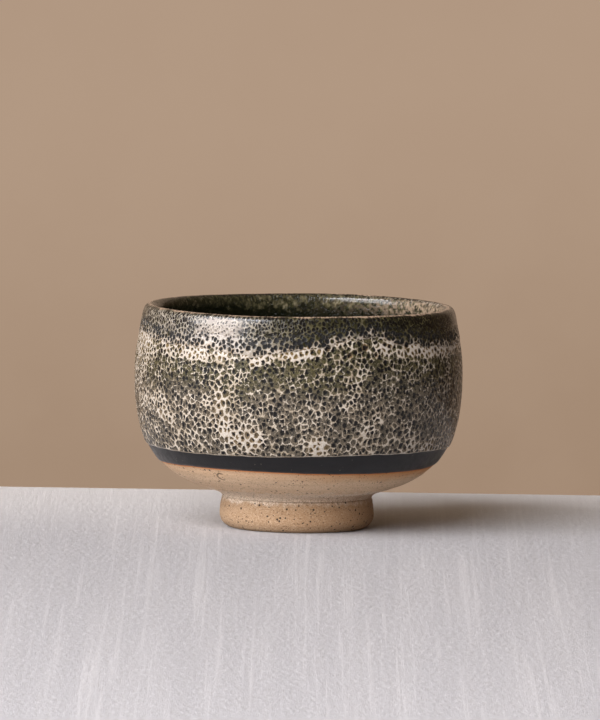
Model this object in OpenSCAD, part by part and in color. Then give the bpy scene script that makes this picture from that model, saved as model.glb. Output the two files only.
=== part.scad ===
// Matcha bowl: a thrown stoneware bowl on an attached foot ring, with four coats of glaze.
// The bowl stands on z = 0 and its axis of turning is Z. Every size is in millimetres.
//
// A section of the bowl is one walk over its clay, from the neck above the foot, out under the
// haunch, up the wall, over the lip, down the inside and in to the middle of the floor. A place on
// that walk is a number: its whole part is the curve, and the rest is how far along it lies.
// Each coat is a closed shell laid on that walk, so neighbouring coats share their faces.

/* [Bowl] */
// Largest diameter over the glaze, at the belly
bowl_d = 120; // [118:0.5:124]
// Height of the lip's crest over the glaze
bowl_h = 81.4; // [79:0.2:84]
// Diameter of the lip's crest
mouth_d = 109.4; // [107:0.2:111]
// Height of the widest part of the belly
belly_z = 56; // [52:0.5:60]
// Thickness of the clay wall at the belly
wall_t = 4.3; // [3.6:0.1:5]
// Thickness of the clay floor over the foot's recess
floor_t = 6.5; // [5.8:0.1:7.5]

/* [Foot] */
// Largest diameter of the foot ring
foot_d = 56.4; // [55:0.2:58]
// Height of the foot ring, and of the recess inside it
foot_h = 11.5; // [10.5:0.1:12]
// Outer diameter of the flat that the bowl rests on
rest_d = 48.5; // [46:0.5:50]
// Inner diameter of the flat that the bowl rests on
rest_inner_d = 39; // [37.5:0.5:41]
// Diameter of the recess at its ceiling
recess_d = 35; // [33:0.5:36]

/* [Glaze] */
// Height of the bare clay's upper edge, where the dark glaze begins
band_low_z = 24.2; // [22:0.2:26]
// Height of the speckled glaze's lower edge
band_top_z = 30.8; // [28:0.2:34]
// How far the second dip reaches down from the crest outside
dip_depth = 11; // [9.5:0.5:15]
// How far the second dip reaches down from the crest inside
dip_inner_depth = 9.5; // [8:0.5:15]
// Thickness of the dark base glaze
base_t = 0.35; // [0.3:0.05:0.5]
// Thickness of the speckled glaze
speckled_t = 0.5; // [0.4:0.05:0.7]
// Thickness of the second dip over the lip
dip_t = 0.3; // [0.2:0.05:0.5]

/* [Hidden] */
$fn = 96;

liner_t = base_t + speckled_t;    // the two coats poured inside, taken as one
bead_w = 1.2;                     // how far in from its edge a coat reaches its full thickness
wall_step = 1.6;                  // rough spacing of the points along the wall and the floor
lip_step = 0.7;                   // and round the lip

// The clay under the coats
clay_r = bowl_d / 2 - base_t - speckled_t;
crest_r = mouth_d / 2;
crest_z = bowl_h - liner_t - dip_t;
floor_z = foot_h + floor_t;

// Where the bowl's underside sits on the foot, and how far up the underside the slip was sponged
seat_r = foot_d / 2 - 3;
slip_z = foot_h + 2.4;

// Knots of the walk: [place, heading in degrees, reach back, reach ahead]
NECK = [[foot_d / 2 - 1.2, foot_h + 1.1], 17, 0, 11];
HAUNCH = [[0.852 * clay_r, foot_h + 12.9], 48, 9.2, 8.4];
BELLY = [[clay_r, belly_z], 90, 16.2, 8];
SHOULDER = [[clay_r - 2, crest_z - 7.4], 103, 5, 3.2];
CREST = [[crest_r, crest_z], 180, 1.6, 1];
INNER_LIP = [[crest_r - 1.9, crest_z - 2], 270, 1.1, 7];
INNER_BELLY = [[clay_r - wall_t, belly_z], 270, 8, 30];
FLOOR = [[0, floor_z], 180, 38, 0];
KNOTS = [NECK, HAUNCH, BELLY, SHOULDER, CREST, INNER_LIP, INNER_BELLY, FLOOR];

// Places on the walk
AT_NECK = 0;
AT_BELLY = 2;
AT_SHOULDER = 3;
AT_CREST = 4;
AT_INNER_LIP = 5;
AT_FLOOR = 7;
AT_SLIP_EDGE = place(0, slip_z);
AT_BAND_LOW = place(band_low_z > HAUNCH[0].y ? 1 : 0, band_low_z);
AT_BAND_TOP = place(1, band_top_z);
AT_DIP = place(2, bowl_h - dip_depth);
AT_DIP_INNER = place(5, bowl_h - dip_inner_depth);

// The whole walk, broken where a coat begins or ends and round the lip
MARKS = [
    AT_NECK, AT_SLIP_EDGE, AT_BAND_LOW, AT_BAND_TOP, AT_BELLY, AT_DIP, AT_SHOULDER, AT_CREST,
    AT_INNER_LIP, AT_DIP_INNER, AT_FLOOR
];
WALK = [
    for (m = [0 : len(MARKS) - 2])
        for (u = stretch(MARKS[m], MARKS[m + 1]))
            if (m == len(MARKS) - 2 || u < MARKS[m + 1]) u
];

// Knots of the foot's outline: outside up from the flat, then inside up from the flat
REST_EDGE = [[rest_d / 2, 0], 15, 0, 1.8];
FOOT_BULGE = [[foot_d / 2, 4.9], 90, 2.6, 2.4];
FOOT_TOP = [[foot_d / 2 - 0.8, foot_h], 97, 2, 0];
REST_INNER = [[rest_inner_d / 2, 0], 165, 0, 0.8];
RECESS_WALL = [[recess_d / 2 + 0.9, 1.6], 95, 0.8, 3];
RECESS_TOP = [[recess_d / 2, foot_h], 95, 3, 0];

// Knots of the slip's hollow face, up from the foot and out to its edge under the bowl
SLIP_FOOT = [FOOT_TOP[0], 86, 0, 0.9];
SLIP_EDGE = [clay(AT_SLIP_EDGE), NECK[1], 2.2, 0];

function unit(a) = [cos(a), sin(a)];

// The four control points of the cubic curve from one knot to the next
function cubic(a, b) = [a[0], a[0] + a[3] * unit(a[1]), b[0] - b[2] * unit(b[1]), b[0]];

function on_cubic(c, t) =
    pow(1 - t, 3) * c[0] + 3 * t * pow(1 - t, 2) * c[1] + 3 * t * t * (1 - t) * c[2] + pow(t, 3) * c[3];

function along_cubic(c, t) =
    pow(1 - t, 2) * (c[1] - c[0]) + 2 * t * (1 - t) * (c[2] - c[1]) + t * t * (c[3] - c[2]);

// The curve that a place lies on, and how far along it
function curve_at(u) = let (k = min(floor(u), len(KNOTS) - 2)) cubic(KNOTS[k], KNOTS[k + 1]);
function part_at(u) = u - min(floor(u), len(KNOTS) - 2);

// The clay's surface at a place, and the direction out of the clay there
function clay(u) = on_cubic(curve_at(u), part_at(u));
function outward(u) = let (d = along_cubic(curve_at(u), part_at(u))) [d.y, -d.x] / norm(d);

// The place on curve k that lies at height z, found by halving
function place(k, z, low = 0, high = 1, turns = 30) =
    let (
        mid = (low + high) / 2,
        rising = KNOTS[k + 1][0].y > KNOTS[k][0].y,
        below = on_cubic(cubic(KNOTS[k], KNOTS[k + 1]), mid).y < z
    )
    turns == 0 ? k + mid
        : below == rising ? place(k, z, mid, high, turns - 1)
        : place(k, z, low, mid, turns - 1);

// The length of the walk from u0 to u1, in n short legs
function walked(u0, u1, n = 24) =
    [for (i = 0, s = 0; i <= n; i = i + 1,
          s = s + norm(clay(u0 + (u1 - u0) * i / n) - clay(u0 + (u1 - u0) * (i - 1) / n))) s][n];

// Places from u0 up to u1, both included, at about one step of length
function stretch(u0, u1) =
    let (
        step = u0 >= AT_SHOULDER && u1 <= AT_INNER_LIP ? lip_step : wall_step,
        n = ceil(walked(u0, u1) / step)
    )
    [for (i = [0 : n]) u0 + (u1 - u0) * i / n];

// How much of a coat's thickness there is at u, when its edge is at u_edge
function bead(u, u_edge) = sqrt(min(1, norm(clay(u) - clay(u_edge)) / bead_w));

// Height above the clay of the top of each coat
function base_top(u) = u < AT_BAND_LOW ? 0 : base_t * bead(u, AT_BAND_LOW);
function speckled_top(u) = base_top(u) + (u < AT_BAND_TOP ? 0 : speckled_t * bead(u, AT_BAND_TOP));
function under_dip(u) = u <= AT_CREST ? speckled_top(u) : liner_t;
function dip_top(u) = under_dip(u) + dip_t * min(bead(u, AT_DIP), bead(u, AT_DIP_INNER));

function raised(u, h) = clay(u) + h * outward(u);
function between(u0, u1) = [for (u = WALK) if (u >= u0 && u <= u1) u];
function backwards(list) = [for (i = [len(list) - 1 : -1 : 0]) list[i]];

// Points of the curve between two knots, with its first point left out
function bend(a, b, n) = [for (i = [1 : n]) on_cubic(cubic(a, b), i / n)];

module turned(outline) {
    rotate_extrude() polygon(outline);
}

// The thrown bowl: floor, wall and lip, with the flat seat that the foot is stuck to
module stoneware_body() {
    color([0.74, 0.62, 0.50])
        turned(concat([[0, foot_h], [seat_r, foot_h]], [for (u = WALK) clay(u)]));
}

// The foot ring, with its rounded edge, the flat that the bowl rests on and the recess
module foot_ring() {
    outside = concat([REST_EDGE[0]], bend(REST_EDGE, FOOT_BULGE, 8), bend(FOOT_BULGE, FOOT_TOP, 4));
    inside = concat([REST_INNER[0]], bend(REST_INNER, RECESS_WALL, 4), bend(RECESS_WALL, RECESS_TOP, 4));
    color([0.76, 0.60, 0.45])
        turned(concat(outside, backwards(inside)));
}

// The slip that was sponged into the corner over the foot
module neck_slip() {
    color([0.68, 0.62, 0.54])
        turned(concat(
            [[seat_r, foot_h], FOOT_TOP[0]],
            bend(SLIP_FOOT, SLIP_EDGE, 8),
            [for (u = backwards(between(AT_NECK, AT_SLIP_EDGE))) if (u < AT_SLIP_EDGE) clay(u)]
        ));
}

// The dark coat next to the clay, bare as a band round the haunch
module black_base_glaze() {
    on = between(AT_BAND_LOW, AT_CREST);
    color([0.13, 0.13, 0.13])
        turned(concat(
            [for (u = on) clay(u)],
            [for (u = backwards(on)) if (u > AT_BAND_LOW) raised(u, base_top(u))]
        ));
}

// The pale coat over it that opened into dark spots
module speckled_glaze() {
    on = between(AT_BAND_TOP, AT_CREST);
    color([0.72, 0.70, 0.62])
        turned(concat(
            [for (u = on) raised(u, base_top(u))],
            [for (u = backwards(on)) if (u > AT_BAND_TOP) raised(u, speckled_top(u))]
        ));
}

// The second dip, over the lip and a little way down both sides
module rim_glaze() {
    on = between(AT_DIP, AT_DIP_INNER);
    color([0.30, 0.31, 0.24])
        turned(concat(
            [for (u = on) raised(u, under_dip(u))],
            [for (u = backwards(on)) if (u > AT_DIP && u < AT_DIP_INNER) raised(u, dip_top(u))]
        ));
}

// The glaze poured inside
module liner_glaze() {
    on = between(AT_CREST, AT_FLOOR);
    color([0.16, 0.18, 0.12])
        turned(concat(
            [for (u = on) clay(u)],
            [for (u = backwards(on)) raised(u, liner_t)]
        ));
}

stoneware_body();
foot_ring();
neck_slip();
black_base_glaze();
speckled_glaze();
rim_glaze();
liner_glaze();
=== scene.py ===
"""Looks for a matcha bowl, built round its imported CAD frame.

The bowl was turned on a wheel, so every piece is a sheet that goes once round the axis. A place on
the clay is an angle from the front (+ to the right, +X) and a length along the walk: the section's
line over the clay, from the neck, out under the haunch, up the wall, over the lip, down the inside
and in to the middle of the floor. Both the walk and the coats' thicknesses are read from the frame.
Shapes are worked out in millimetres, and go to Blender in metres.
"""

import math

import bpy
import numpy as np
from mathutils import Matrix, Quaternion, Vector
from mathutils.kdtree import KDTree


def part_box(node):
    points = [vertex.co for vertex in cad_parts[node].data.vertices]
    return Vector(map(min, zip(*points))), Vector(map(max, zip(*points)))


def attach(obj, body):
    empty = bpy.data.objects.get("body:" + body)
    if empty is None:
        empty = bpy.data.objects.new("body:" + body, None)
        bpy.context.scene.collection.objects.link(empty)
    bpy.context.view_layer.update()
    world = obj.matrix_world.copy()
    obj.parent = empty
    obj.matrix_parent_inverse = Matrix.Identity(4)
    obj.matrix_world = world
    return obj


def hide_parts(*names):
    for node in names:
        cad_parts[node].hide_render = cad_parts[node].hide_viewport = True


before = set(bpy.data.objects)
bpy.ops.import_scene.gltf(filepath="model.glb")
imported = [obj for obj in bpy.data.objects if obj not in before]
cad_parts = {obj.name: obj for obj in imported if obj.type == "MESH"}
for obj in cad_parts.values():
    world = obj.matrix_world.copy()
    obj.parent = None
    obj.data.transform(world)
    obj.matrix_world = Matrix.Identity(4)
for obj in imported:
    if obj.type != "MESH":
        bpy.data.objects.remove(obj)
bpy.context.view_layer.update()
MM = 0.001
TINY = 1e-4    # how near to the seam's plane, in mm, counts as on it


# ---- reading the frame

def corners(node):
    """The corners of a CAD node's turned outline, as (radius, height) rows in the order they join."""
    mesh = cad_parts[node].data
    at = np.empty(3 * len(mesh.vertices))
    mesh.vertices.foreach_get("co", at)
    at = at.reshape(-1, 3) / MM
    ends = np.empty(2 * len(mesh.edges), int)
    mesh.edges.foreach_get("vertices", ends)
    ends = ends.reshape(-1, 2)
    on_seam = (abs(at[:, 1]) < TINY) & (at[:, 0] > -TINY)
    key = np.round(at[:, [0, 2]], 3)
    joined = {}
    for a, b in ends[on_seam[ends].all(1)]:
        ka, kb = tuple(key[a]), tuple(key[b])
        if ka != kb:
            joined.setdefault(ka, set()).add(kb)
            joined.setdefault(kb, set()).add(ka)
    loose = [k for k in joined if len(joined[k]) == 1]
    here = min(loose or joined, key=lambda k: (k[1], -k[0]))
    walk = [here]
    while True:
        ways = [k for k in sorted(joined[here]) if k not in walk]
        if not ways:
            return np.array(walk)
        here = ways[0]
        walk.append(here)


class Curve:
    """A smooth curve through points of the section, measured by its length."""

    def __init__(self, points):
        self.p = np.asarray(points, float)
        self.s = np.concatenate([[0], np.cumsum(np.hypot(*np.diff(self.p, axis=0).T))])
        n, h = len(self.s), np.diff(self.s)
        lhs, rhs = np.eye(n), np.zeros((n, 2))
        for i in range(1, n - 1):
            lhs[i, i - 1 : i + 2] = h[i - 1], 2 * (h[i - 1] + h[i]), h[i]
            rhs[i] = 6 * ((self.p[i + 1] - self.p[i]) / h[i] - (self.p[i] - self.p[i - 1]) / h[i - 1])
        self.m = np.linalg.solve(lhs, rhs)
        self.length = self.s[-1]

    def at(self, s):
        """Radius and height at s, and the direction out of the clay there."""
        s = np.clip(s, 0, self.length)
        i = np.clip(np.searchsorted(self.s, s, side="right") - 1, 0, len(self.s) - 2)
        h, u = self.s[i + 1] - self.s[i], s - self.s[i]
        v = h - u
        h, u, v = h[..., None], u[..., None], v[..., None]
        p0, p1, m0, m1 = self.p[i], self.p[i + 1], self.m[i], self.m[i + 1]
        place = (m0 * v**3 + m1 * u**3) / (6 * h) + (p0 / h - m0 * h / 6) * v + (p1 / h - m1 * h / 6) * u
        along = (m1 * u**2 - m0 * v**2) / (2 * h) + (p1 - p0) / h + (m0 - m1) * h / 6
        along /= np.linalg.norm(along, axis=-1, keepdims=True)
        return place, np.stack([along[..., 1], -along[..., 0]], -1)


def reach(node):
    """A node's largest radius."""
    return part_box(node)[1].x / MM


def top(node):
    """A node's highest place."""
    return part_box(node)[1].z / MM


def bottom(node):
    """A node's lowest place."""
    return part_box(node)[0].z / MM


BODY = corners("stoneware_body")
WALK = Curve(BODY[1:])
LIP = WALK.s[np.argmax(WALK.p[:, 1])]
SEAT_Z = bottom("stoneware_body")
GIRTH = reach("stoneware_body")
HEIGHT = top("rim_glaze")

BASE_T = reach("black_base_glaze") - reach("stoneware_body")
SPECKLED_T = reach("speckled_glaze") - reach("black_base_glaze")
DIP_T = top("rim_glaze") - top("speckled_glaze")
LINER_T = BASE_T + SPECKLED_T

RIM = corners("rim_glaze")
DIP_OUT_Z = RIM[RIM[:, 0] > reach("rim_glaze") - 2][:, 1].min()
DIP_IN_Z = bottom("rim_glaze")    # the inner edge is put level with the outer one


# ---- sums

def ease(x, lo, hi):
    """0 up to lo, 1 from hi on, and a soft step between."""
    t = np.clip((x - lo) / (hi - lo), 0, 1)
    return t * t * (3 - 2 * t)


def hump(x, centre, half):
    """1 at the centre, falling off smoothly on both sides over a half width."""
    return np.exp(-(((x - centre) / half) ** 2))


def round_to(angle, centre):
    """The angle from a centre, the short way round."""
    return (angle - centre + math.pi) % (2 * math.pi) - math.pi


def bumps(theta, rows):
    """The sum of humps round the wall: rows of middle and half width in degrees, and how high."""
    total = 0
    for degrees, half, high in rows:
        total = total + high * hump(round_to(theta, math.radians(degrees)), 0, math.radians(half))
    return total


def waves(theta, s, seed, across, along, count=36):
    """Soft noise on the unrolled wall, mostly within -1 to 1. It closes on itself after one turn."""
    rng = np.random.default_rng(seed)
    total = np.zeros(np.broadcast(theta, s).shape)
    for _ in range(count):
        turns = round(rng.normal(0, 3.5 * GIRTH / across))
        total += np.cos(turns * theta + rng.normal(0, 3.5 / along) * s + rng.uniform(0, 2 * math.pi))
    return total / math.sqrt(2 * count)


def climb(z):
    """The length along the walk at which the outside of the clay reaches a height."""
    s = np.linspace(0, LIP, 4000)
    return np.interp(z, WALK.at(s)[0][:, 1], s)


def descend(z):
    """The length along the walk at which the inside of the clay comes down to a height."""
    s = np.linspace(WALK.length, LIP, 4000)
    return np.interp(z, WALK.at(s)[0][:, 1], s)


def raised(s, h):
    """Radius and height of the surface h over the clay."""
    place, out = WALK.at(s)
    return place[..., 0] + h * out[..., 0], place[..., 1] + h * out[..., 1]


# ---- edges of the coats

def band_low(theta):
    """Where the black coat starts."""
    wave = 0.10 + 0.35 * np.sin(theta) - 0.75 * np.sin(2 * theta)
    return climb(bottom("black_base_glaze") + wave + 0.12 * waves(theta, 0, 5, 14, 1))


def band_top(theta):
    """Where the speckled coat starts."""
    wave = 0.10 - 0.15 * np.sin(theta) + 0.55 * np.sin(2 * theta)
    return climb(bottom("speckled_glaze") + wave + 0.16 * waves(theta, 0, 6, 7, 1))


DRIPS = [
    # angle in degrees, half width in degrees, how far it runs in mm (less than 0: how far it draws up)
    (-17, 13, 2.6), (-38, 10, 0.6), (-80, 13, -2.2), (21, 11, -3.2), (31, 6, -2.0), (46, 6, -0.8),
    (72, 20, 1.0), (112, 7, -2.6), (131, 8, 2.8), (152, 9, -3.4), (171, 8, 2.4),
    (-166, 7, -1.8), (-146, 10, 3.0), (-122, 8, -3.0), (-101, 6, 2.2),
]


def dip_edge(theta):
    """Where the second dip's lower edge lies on the outside."""
    wave = 0.45 * waves(theta, 0, 7, 5, 1) + 0.35 * waves(theta, 0, 9, 1.6, 1)
    return climb(DIP_OUT_Z - 0.9 + wave - bumps(theta, DRIPS))


def dip_inner_edge(theta):
    """Where the second dip's lower edge lies on the inside."""
    return descend(DIP_IN_Z + 0.9 * waves(theta, 0, 8, 22, 1))


# ---- spots

SQUASH = 0.86           # how much a length along the wall counts, so that spots are taller than wide
PIT = 10.0              # is added to an open pit's radius, to tell it from the spots
HASH = 4.2              # side of the hash's cells in mm: more than the widest gap
DARTS = 4               # thrown to each square mm
GAP_RANGE = 0.62, 1.45  # each dart's own share of the spacing


class Spots:
    """Spots strewn over the unrolled wall. Each is (across, along, radius) in mm."""

    def __init__(self, seed, spacing, first, last):
        """Throws darts, and keeps those no nearer to the rest than `spacing(theta, s)`."""
        rng = np.random.default_rng(seed)
        self.round = 2 * math.pi * GIRTH
        darts = int(self.round * (last - first) * DARTS)
        u = rng.uniform(-self.round / 2, self.round / 2, darts)
        v = rng.uniform(first, last, darts)
        gap = spacing(u / GIRTH, v) * rng.uniform(*GAP_RANGE, darts)
        self.at = np.array(self.keep(u, v * SQUASH, gap))
        self.at[:, 1] /= SQUASH
        self.at[:, 2] = 1 + 0.2 * rng.normal(size=len(self.at)).clip(-1.5, 1.5)

    def keep(self, u, v, gap):
        """The darts that have room, found through a hash of square cells that closes round the wall."""
        cols = int(self.round / HASH)
        col = ((u / self.round + 0.5) * cols).astype(int) % cols
        row = (v // HASH).astype(int)
        cells, kept = {}, []
        for a, b, g, c, r in np.stack([u, v, gap, col, row], -1).tolist():
            free = True
            for cell in [((c + x) % cols, r + y) for x in (-1, 0, 1) for y in (-1, 0, 1)]:
                for p, q in cells.get(cell, ()):
                    du = abs(a - p)
                    du = min(du, self.round - du)
                    if du * du + (b - q) * (b - q) < g * g:
                        free = False
            if free:
                cells.setdefault((c, r), []).append((a, b))
                kept.append((a, b, 1.0))
        return kept

    def angle(self):
        """Each spot's angle from the front."""
        return self.at[:, 0] / GIRTH

    def put(self, degrees, z, radius):
        """Opens a pit at a place of its own, and drops the spots it would cover."""
        u, v = math.radians(degrees) * GIRTH, float(climb(z))
        away = np.hypot(self.at[:, 0] - u, SQUASH * (self.at[:, 1] - v))
        self.at = self.at[(away > radius + 0.25) | (self.at[:, 2] > PIT)]
        self.at = np.concatenate([self.at, [(u, v, radius + PIT)]])

    def plant(self):
        """Makes the tree that finds spots. Those by the seam are in it on both sides."""
        twin = [self.at + (k * self.round, 0, 0) for k in (-1, 0, 1)]
        twin = np.concatenate(twin)
        self.twins = twin[abs(twin[:, 0]) < self.round / 2 + 9]
        self.tree = KDTree(len(self.twins))
        for i, (u, v, _) in enumerate(self.twins.tolist()):
            self.tree.insert((u, v * SQUASH, 0), i)
        self.tree.balance()

    def near(self, u, v, count):
        """The spots nearest to each place, nearest first, and how far off they are."""
        order, away = [], []
        for a, b in zip(u.tolist(), (v * SQUASH).tolist()):
            found = self.tree.find_n((a, b, 0), count)
            order.append([f[1] for f in found])
            away.append([f[2] for f in found])
        return self.twins[np.array(order)], np.array(away)

    def dimples(self, theta, s):
        """How deep each place lies in its spot, from 0 on the web between to 1 in the middle."""
        spot, away = self.near((theta * GIRTH).ravel(), s.ravel(), 2)
        wall = (away[:, 1] - away[:, 0]) / 2
        pit = spot[:, 0, 2] > PIT
        radius = spot[:, 0, 2] - PIT * pit
        sides = ease(wall, 0.0, 0.75) * (1 - ease(away[:, 0] / radius, 0.45, 1.15))
        return (sides * (1 + 2.0 * pit)).reshape(theta.shape)


# ---- meshes

def by_hand(theta, r, z):
    """The hand's unevenness: the lip is a little oval and not quite level."""
    rise = ease(z, 18, HEIGHT)
    r = r * (1 + rise * (0.0020 * np.cos(2 * theta + 0.6) + 0.0012 * np.cos(3 * theta - 1.0)))
    z = z + rise**2 * (0.12 * np.sin(theta + 0.8) + 0.10 * np.sin(3 * theta) + 0.07 * np.sin(5 * theta))
    return r, z


def add(name, data):
    """Puts a new object into the scene."""
    it = bpy.data.objects.new(name, data)
    bpy.context.scene.collection.objects.link(it)
    return it


def unroll(it, name, domain, values):
    """Stores rows of three numbers on a mesh."""
    layer = it.data.attributes.new(name, "FLOAT_VECTOR", domain)
    layer.data.foreach_set("vector", np.ascontiguousarray(values, np.float32).ravel())


def piece(name, node, theta, r, z, s, zone, loop=True, poles=(), spots=None):
    """A closed mesh of rows of places; row 0 is next to the last one, or both end in a pole."""
    rows, cols = r.shape
    theta = np.broadcast_to(theta, r.shape)
    r, z = by_hand(theta, r, z)
    at = np.stack([r * np.sin(theta), -r * np.cos(theta), z], -1).reshape(-1, 3)
    first = np.arange(rows if loop else rows - 1)[:, None]
    col = np.arange(cols)[None, :]
    nxt, right = (first + 1) % rows, (col + 1) % cols
    quad = np.stack([first * cols + col, first * cols + right, nxt * cols + right, nxt * cols + col], -1)
    faces = quad.reshape(-1, 4).tolist()
    ends = []
    for k, height in enumerate(poles):
        ends.append((0, 0, height))
        tip, base = rows * cols + k, (rows - 1) * cols * k
        a, b = base + np.arange(cols), base + (np.arange(cols) + 1) % cols
        fan = np.stack([b, a, np.full(cols, tip)] if k == 0 else [a, b, np.full(cols, tip)], -1)
        faces += fan.tolist()
    at = np.concatenate([at, np.array(ends).reshape(-1, 3)])
    mesh = bpy.data.meshes.new(name)
    mesh.from_pydata((at * MM).tolist(), [], faces)
    mesh.shade_smooth()
    it = add(name, mesh)
    pad = np.zeros((len(ends), 3))
    unroll(it, "rest", "POINT", at)
    unroll(it, "zone", "POINT", np.concatenate([zone.reshape(-1, 3), pad]))
    if spots is not None:
        lay_out(it, quad, theta, s, spots)
    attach(it, "root")
    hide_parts(node)
    return it


def lay_out(it, quad, theta, s, spots):
    """Gives each face its corners' places on the unrolled wall, and the four spots nearest to it."""
    u = theta.ravel()[quad] * GIRTH
    u[..., 1:3] += np.where(u[..., 1:3] < u[..., :1] - GIRTH, spots.round, 0)
    v = s.ravel()[quad]
    flat = np.stack([u, v, np.zeros_like(u)], -1).reshape(-1, 3)
    fans = len(it.data.polygons) - u.size // 4
    unroll(it, "sheet", "CORNER", np.concatenate([flat, np.zeros((3 * fans, 3))]))
    found, _ = spots.near(u.mean(-1).ravel(), v.mean(-1).ravel(), 4)
    for k in range(4):
        unroll(it, f"spot_{k}", "FACE", np.concatenate([found[:, k], np.ones((fans, 3))]))


def turn(cols):
    """The angles of the columns of places that go once round."""
    return np.linspace(-math.pi, math.pi, cols, endpoint=False)


def bead(d, width):
    """The share of a coat's full thickness at a distance from its rounded edge."""
    return np.sqrt(np.clip(1 - (1 - np.clip(d / width, 0, 1)) ** 2, 0.01, 1))


def shares(edges, rows, close):
    """Shares of a coat's run, with rows crowded within `close` of the named ends."""
    t = np.linspace(0, 1, rows)
    tight = close * np.array([0.08, 0.25, 0.5, 0.75])
    if "start" in edges:
        t = np.concatenate([t, tight])
    if "end" in edges:
        t = np.concatenate([t, 1 - tight])
    return np.unique(t)


def coat(name, node, cols, start, end, under, over, share, zone, spots=None):
    """A coat from one edge to another, lying on `under` and reaching up to `over(theta, s)`."""
    theta = turn(cols)
    a, b = start(theta), end(theta)
    up = share[:, None]
    down = np.unique(np.concatenate([share[::8], share[-1:]]))[::-1][:, None]
    s_top = a + (b - a) * up
    s_low = a + (b - a) * down
    th_top = np.broadcast_to(theta, s_top.shape)
    h = np.concatenate([over(th_top, s_top), np.full(s_low.shape, under)])
    s = np.concatenate([s_top, s_low])
    th = np.broadcast_to(theta, s.shape)
    r, z = raised(s, h)
    return piece(name, node, theta, r, z, s, zone(th, s), spots=spots)


# ---- where the cream lies

PATCHES = [
    # angle, height in mm, half width in degrees, half height in mm, how much creamier
    (-28, 50, 4.5, 13, 0.42), (-52, 45, 13, 5, 0.25), (-19, 36, 8, 6, 0.35), (20.5, 57, 4.5, 5, 0.50),
    (7, 34, 4, 3, 0.50), (0, 57, 22, 9, -0.30), (44, 52, 12, 12, -0.22), (-45, 58, 9, 6, -0.12),
    (56, 67.5, 19, 1.8, 0.65), (32, 69.5, 3, 2.4, 0.5), (-1, 67.0, 4, 2.2, 0.7), (-39, 66.5, 13, 2.2, 0.55),
    (-78, 68, 14, 4, 0.40), (50, 33, 20, 4, 0.22), (24, 38, 5, 8, 0.22), (-75, 55, 14, 18, 0.22),
    (58, 33, 8, 4, 0.20), (100, 45, 10, 12, 0.35), (128, 58, 14, 8, -0.25), (150, 40, 9, 12, 0.40),
    (-170, 52, 12, 14, -0.20), (-150, 38, 10, 7, 0.35), (-120, 56, 9, 9, 0.30), (-104, 42, 8, 10, -0.15),
]


RUNS = [
    # angle and half width in degrees, and how much fuller the pale run under the dip is there
    (-80, 13, 0.60), (-48, 9, 0.30), (-24, 8, 0.20), (-2, 6, 0.60), (9, 4, 0.45), (24, 8, -0.30),
    (35, 3, 0.35), (48, 6, 0.45), (66, 12, 0.30), (105, 12, 0.40), (145, 10, 0.50), (-165, 12, 0.40),
    (-128, 10, 0.50),
]


def creamy(theta, s):
    """How much of the pale glaze is left unspotted at a place outside, from 0 to 1."""
    z = WALK.at(s)[0][..., 1]
    cream = 0.30 + 0.16 * waves(theta, s, 11, 9, 9)
    for degrees, height, wide, tall, more in PATCHES:
        wide = math.radians(wide)
        cream = cream + more * hump(round_to(theta, math.radians(degrees)), 0, wide) * hump(z, height, tall)
    below = dip_edge(theta) - s
    run = 1.4 + 1.4 * waves(theta, 0, 12, 9, 1) + 1.5 * waves(theta, s, 16, 3.0, 3.0)
    lush = np.clip(0.32 + 0.42 * waves(theta, s, 18, 6, 5) + bumps(theta, RUNS), 0.05, 1)
    cream = cream + lush * (1 - ease(below, run - 1.2, run + 1.6))
    return np.clip(cream, 0, 1)


def strewn(seed, stretches):
    """Marks as angle in degrees, height and radius in mm, drawn from a seed along stretches of the wall."""
    draw = np.random.default_rng(seed)
    marks = []
    for centre, half, count, low, high, small, large in stretches:
        for k in range(count):
            # one mark to a step, in turn in the upper and the lower half, so that they keep apart
            degrees = centre - half + 2 * half * (k + draw.uniform(0.2, 0.8)) / count
            level = 0.5 * (k % 2) + draw.uniform(0.05, 0.45)
            marks.append((degrees, low + (high - low) * level, draw.uniform(small, large)))
    return marks


BLOBS = strewn(21, [
    # middle and half width in degrees, how many, lowest and highest, smallest and largest radius:
    # the dark drops that hang in the pale run under the dip
    (5, 8, 3, 70, 72, 0.9, 1.2), (45, 30, 12, 67, 72, 0.6, 1.2), (180, 90, 11, 69, 72, 1.0, 1.6),
])
PITS = strewn(22, [
    # the same, for the open pits above the run
    (-25, 30, 24, 68, 73, 0.7, 1.1), (180, 85, 12, 71, 75, 1.0, 1.5),
])
PALE = [
    # angle and half width in degrees, and how pale the second dip gets there; where it is palest, at -28 on
    # the shoulder, the rim glaze adds painted sheen
    (-28, 17, 0.95), (-62, 22, 0.75), (-100, 14, 0.35), (118, 15, 0.60), (165, 12, 0.70), (-138, 9, 0.45),
]
PALE_INSIDE = [(112, 34, 0.9)]


def body_spots():
    """The spots of the speckled coat: crowded where it is dark, small and apart where it is creamy."""

    def spacing(theta, s):
        z = WALK.at(s)[0][:, 1]
        return 1.84 + 0.46 * (1 - ease(z, 31, 45)) + 0.16 * waves(theta, s, 13, 16, 12)

    spots = Spots(21, spacing, climb(bottom("speckled_glaze")) - 3, LIP + 2)
    cream = creamy(spots.angle(), spots.at[:, 1])
    spots.at[:, 2] *= 1.70 - 0.75 * ease(cream, 0.30, 0.95) - 0.20 * ease(cream, 0.88, 1.0)
    for degrees, z, radius in BLOBS:
        spots.put(degrees, z, radius)
    spots.plant()
    return spots


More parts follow.
